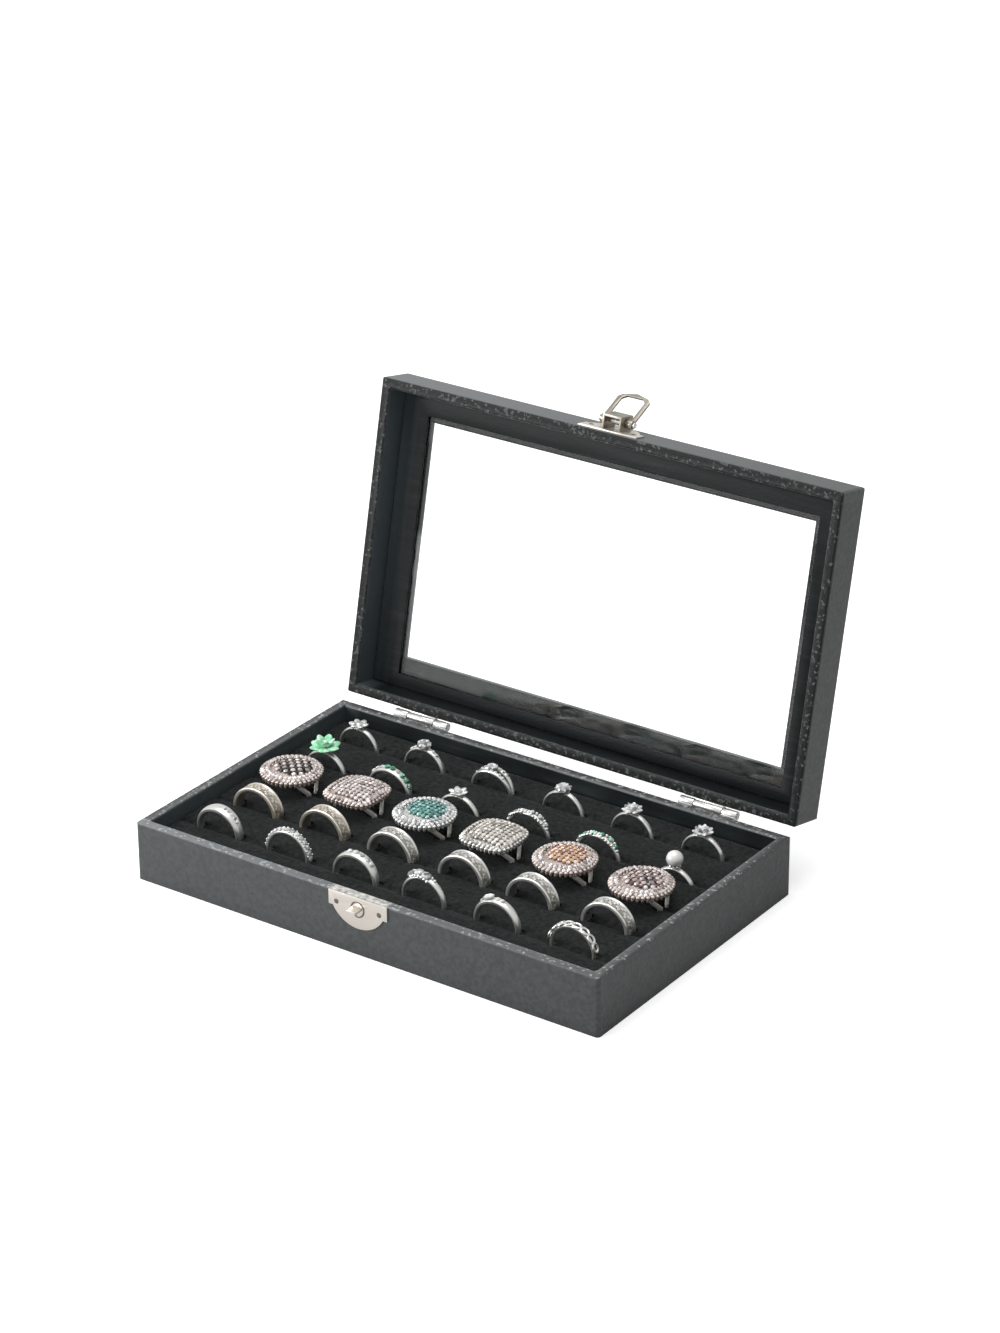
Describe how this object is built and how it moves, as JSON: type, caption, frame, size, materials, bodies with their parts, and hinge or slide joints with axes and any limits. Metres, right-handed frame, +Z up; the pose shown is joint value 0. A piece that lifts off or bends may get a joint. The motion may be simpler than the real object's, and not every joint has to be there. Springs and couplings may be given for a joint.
{
  "type": "ring display box",
  "caption": "Low rectangular display box with a hinged glazed lid, a hasp latch and slotted foam rolls that hold rows of finger rings.",
  "frame": {"origin": "centre of the underside of the tray, on the surface that it stands on", "axes": "+X to the right along the front, +Y to the back where the hinges are, +Z up; the latch is on the -Y side and the lid stands open at 102.5 degrees"},
  "size_m": [0.2, 0.1791, 0.153],
  "materials": {
    "leatherette": "black grained leatherette, low sheen",
    "board": "plain pressed board, covered",
    "black_card": "black flocked card",
    "foam": "black flocked foam",
    "pane": "clear polished pane",
    "nickel": "bright nickel plate",
    "steel": "bright steel",
    "silver_ring": "polished silver",
    "gilt_ring": "polished pale gold",
    "rose_ring": "polished rose gold"
  },
  "bodies": {
    "tray": {"base_cover": "leatherette", "base_front_wall": "board", "base_back_wall": "board", "base_left_wall": "board", "base_right_wall": "board", "base_floor": "board", "base_underlay": "black_card", "insert_card": "black_card", "foam_rolls": "foam", "catch_plate": "nickel", "base_nails": "nickel", "left_hinge_base_leaf": "nickel", "right_hinge_base_leaf": "nickel", "hinge_pins": "steel"},
    "lid": {"lid_cover": "leatherette", "lid_front_wall": "board", "lid_back_wall": "board", "lid_left_wall": "board", "lid_right_wall": "board", "lid_panel": "board", "window_pane": "pane", "pane_frame": "black_card", "left_hinge_lid_leaf": "nickel", "right_hinge_lid_leaf": "nickel", "latch_plate": "nickel", "latch_bracket": "nickel", "latch_pin": "steel", "latch_spring": "steel", "lid_nails": "nickel"},
    "latch_loop": {"latch_loop": "nickel"},
    "ring_a1": {"ring_a1": "silver_ring"},
    "ring_a2": {"ring_a2": "silver_ring"},
    "ring_a3": {"ring_a3": "silver_ring"},
    "ring_a4": {"ring_a4": "silver_ring"},
    "ring_a5": {"ring_a5": "silver_ring"},
    "ring_a6": {"ring_a6": "silver_ring"},
    "ring_b1": {"ring_b1": "gilt_ring"},
    "ring_b2": {"ring_b2": "gilt_ring"},
    "ring_b3": {"ring_b3": "silver_ring"},
    "ring_b4": {"ring_b4": "silver_ring"},
    "ring_b5": {"ring_b5": "silver_ring"},
    "ring_b6": {"ring_b6": "silver_ring"},
    "ring_c1": {"ring_c1": "rose_ring"},
    "ring_c2": {"ring_c2": "silver_ring"},
    "ring_c3": {"ring_c3": "silver_ring"},
    "ring_c4": {"ring_c4": "silver_ring"},
    "ring_c5": {"ring_c5": "rose_ring"},
    "ring_c6": {"ring_c6": "rose_ring"},
    "ring_d1": {"ring_d1": "silver_ring"},
    "ring_d2": {"ring_d2": "silver_ring"},
    "ring_d3": {"ring_d3": "silver_ring"},
    "ring_d4": {"ring_d4": "silver_ring"},
    "ring_d5": {"ring_d5": "silver_ring"},
    "ring_d6": {"ring_d6": "silver_ring"},
    "ring_e1": {"ring_e1": "silver_ring"},
    "ring_e2": {"ring_e2": "silver_ring"},
    "ring_e3": {"ring_e3": "silver_ring"},
    "ring_e4": {"ring_e4": "silver_ring"},
    "ring_e5": {"ring_e5": "silver_ring"},
    "ring_e6": {"ring_e6": "silver_ring"}
  },
  "joints": [
    {"name": "lid_hinge", "type": "hinge", "parent": "tray", "child": "lid", "pos_m": [0, 0.0636, 0.02315], "axis": [-1, 0, 0], "range_deg": [-102.5, 0]},
    {"name": "latch_loop_hinge", "type": "hinge", "parent": "lid", "child": "latch_loop", "pos_m": [0, 0.09903, 0.14671], "axis": [-1, 0, 0], "range_deg": [-144, 0]},
    {"name": "ring_a1_lift", "type": "slide", "parent": "tray", "child": "ring_a1", "axis": [0, 0, 1], "range_m": [0, 0.03]},
    {"name": "ring_a2_lift", "type": "slide", "parent": "tray", "child": "ring_a2", "axis": [0, 0, 1], "range_m": [0, 0.03]},
    {"name": "ring_a3_lift", "type": "slide", "parent": "tray", "child": "ring_a3", "axis": [0, 0, 1], "range_m": [0, 0.03]},
    {"name": "ring_a4_lift", "type": "slide", "parent": "tray", "child": "ring_a4", "axis": [0, 0, 1], "range_m": [0, 0.03]},
    {"name": "ring_a5_lift", "type": "slide", "parent": "tray", "child": "ring_a5", "axis": [0, 0, 1], "range_m": [0, 0.03]},
    {"name": "ring_a6_lift", "type": "slide", "parent": "tray", "child": "ring_a6", "axis": [0, 0, 1], "range_m": [0, 0.03]},
    {"name": "ring_b1_lift", "type": "slide", "parent": "tray", "child": "ring_b1", "axis": [0, 0, 1], "range_m": [0, 0.03]},
    {"name": "ring_b2_lift", "type": "slide", "parent": "tray", "child": "ring_b2", "axis": [0, 0, 1], "range_m": [0, 0.03]},
    {"name": "ring_b3_lift", "type": "slide", "parent": "tray", "child": "ring_b3", "axis": [0, 0, 1], "range_m": [0, 0.03]},
    {"name": "ring_b4_lift", "type": "slide", "parent": "tray", "child": "ring_b4", "axis": [0, 0, 1], "range_m": [0, 0.03]},
    {"name": "ring_b5_lift", "type": "slide", "parent": "tray", "child": "ring_b5", "axis": [0, 0, 1], "range_m": [0, 0.03]},
    {"name": "ring_b6_lift", "type": "slide", "parent": "tray", "child": "ring_b6", "axis": [0, 0, 1], "range_m": [0, 0.03]},
    {"name": "ring_c1_lift", "type": "slide", "parent": "tray", "child": "ring_c1", "axis": [0, 0, 1], "range_m": [0, 0.03]},
    {"name": "ring_c2_lift", "type": "slide", "parent": "tray", "child": "ring_c2", "axis": [0, 0, 1], "range_m": [0, 0.03]},
    {"name": "ring_c3_lift", "type": "slide", "parent": "tray", "child": "ring_c3", "axis": [0, 0, 1], "range_m": [0, 0.03]},
    {"name": "ring_c4_lift", "type": "slide", "parent": "tray", "child": "ring_c4", "axis": [0, 0, 1], "range_m": [0, 0.03]},
    {"name": "ring_c5_lift", "type": "slide", "parent": "tray", "child": "ring_c5", "axis": [0, 0, 1], "range_m": [0, 0.03]},
    {"name": "ring_c6_lift", "type": "slide", "parent": "tray", "child": "ring_c6", "axis": [0, 0, 1], "range_m": [0, 0.03]},
    {"name": "ring_d1_lift", "type": "slide", "parent": "tray", "child": "ring_d1", "axis": [0, 0, 1], "range_m": [0, 0.03]},
    {"name": "ring_d2_lift", "type": "slide", "parent": "tray", "child": "ring_d2", "axis": [0, 0, 1], "range_m": [0, 0.03]},
    {"name": "ring_d3_lift", "type": "slide", "parent": "tray", "child": "ring_d3", "axis": [0, 0, 1], "range_m": [0, 0.03]},
    {"name": "ring_d4_lift", "type": "slide", "parent": "tray", "child": "ring_d4", "axis": [0, 0, 1], "range_m": [0, 0.03]},
    {"name": "ring_d5_lift", "type": "slide", "parent": "tray", "child": "ring_d5", "axis": [0, 0, 1], "range_m": [0, 0.03]},
    {"name": "ring_d6_lift", "type": "slide", "parent": "tray", "child": "ring_d6", "axis": [0, 0, 1], "range_m": [0, 0.03]},
    {"name": "ring_e1_lift", "type": "slide", "parent": "tray", "child": "ring_e1", "axis": [0, 0, 1], "range_m": [0, 0.03]},
    {"name": "ring_e2_lift", "type": "slide", "parent": "tray", "child": "ring_e2", "axis": [0, 0, 1], "range_m": [0, 0.03]},
    {"name": "ring_e3_lift", "type": "slide", "parent": "tray", "child": "ring_e3", "axis": [0, 0, 1], "range_m": [0, 0.03]},
    {"name": "ring_e4_lift", "type": "slide", "parent": "tray", "child": "ring_e4", "axis": [0, 0, 1], "range_m": [0, 0.03]},
    {"name": "ring_e5_lift", "type": "slide", "parent": "tray", "child": "ring_e5", "axis": [0, 0, 1], "range_m": [0, 0.03]},
    {"name": "ring_e6_lift", "type": "slide", "parent": "tray", "child": "ring_e6", "axis": [0, 0, 1], "range_m": [0, 0.03]}
  ]
}
